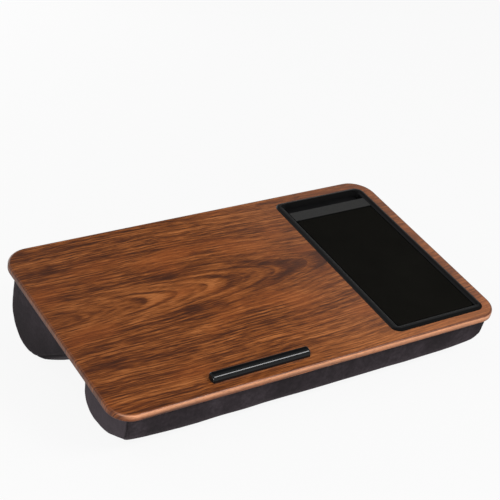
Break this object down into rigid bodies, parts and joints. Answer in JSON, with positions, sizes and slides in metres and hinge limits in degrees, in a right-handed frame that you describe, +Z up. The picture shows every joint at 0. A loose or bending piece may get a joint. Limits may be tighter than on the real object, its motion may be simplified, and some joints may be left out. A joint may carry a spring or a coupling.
{
  "type": "lap desk",
  "caption": "Lap desk: walnut-look board on two fabric bolsters, tilted towards the user, with a stop ledge and a black tray holding a mouse pad and a phone slot.",
  "frame": {"origin": "on the surface it rests on, under the middle of the desk", "axes": "+Z up, +X to the user's right along the long side, +Y away from the user"},
  "size_m": [0.536, 0.3022, 0.1132],
  "materials": {
    "walnut_foil": "satin walnut-look foil, grain left to right",
    "fibreboard": "raw medium-density fibreboard",
    "lining": "black felted backing sheet",
    "tray_plastic": "black satin moulded plastic",
    "pad_cloth": "matte black knitted cloth",
    "pad_rubber": "black foam rubber",
    "ledge_plastic": "glossy black moulded plastic",
    "screw_steel": "zinc-plated steel",
    "bolster_cloth": "dark charcoal brushed microfibre",
    "bead_fill": "loose foam beads",
    "hardboard": "smooth brown hardboard",
    "staple_wire": "galvanised wire"
  },
  "bodies": {
    "root": {"board_core": "fibreboard", "walnut_foil": "walnut_foil", "underside_lining": "lining", "tray_frame": "tray_plastic", "mouse_pad_base": "pad_rubber", "mouse_pad_cloth": "pad_cloth", "tray_screws": "screw_steel", "device_ledge": "ledge_plastic", "ledge_screws": "screw_steel", "front_bolster_cover": "bolster_cloth", "front_bolster_left_end": "bolster_cloth", "front_bolster_right_end": "bolster_cloth", "front_bolster_panel": "hardboard", "front_bolster_fill": "bead_fill", "front_bolster_staples": "staple_wire", "rear_bolster_cover": "bolster_cloth", "rear_bolster_left_end": "bolster_cloth", "rear_bolster_right_end": "bolster_cloth", "rear_bolster_panel": "hardboard", "rear_bolster_fill": "bead_fill", "rear_bolster_staples": "staple_wire"}
  },
  "joints": []
}
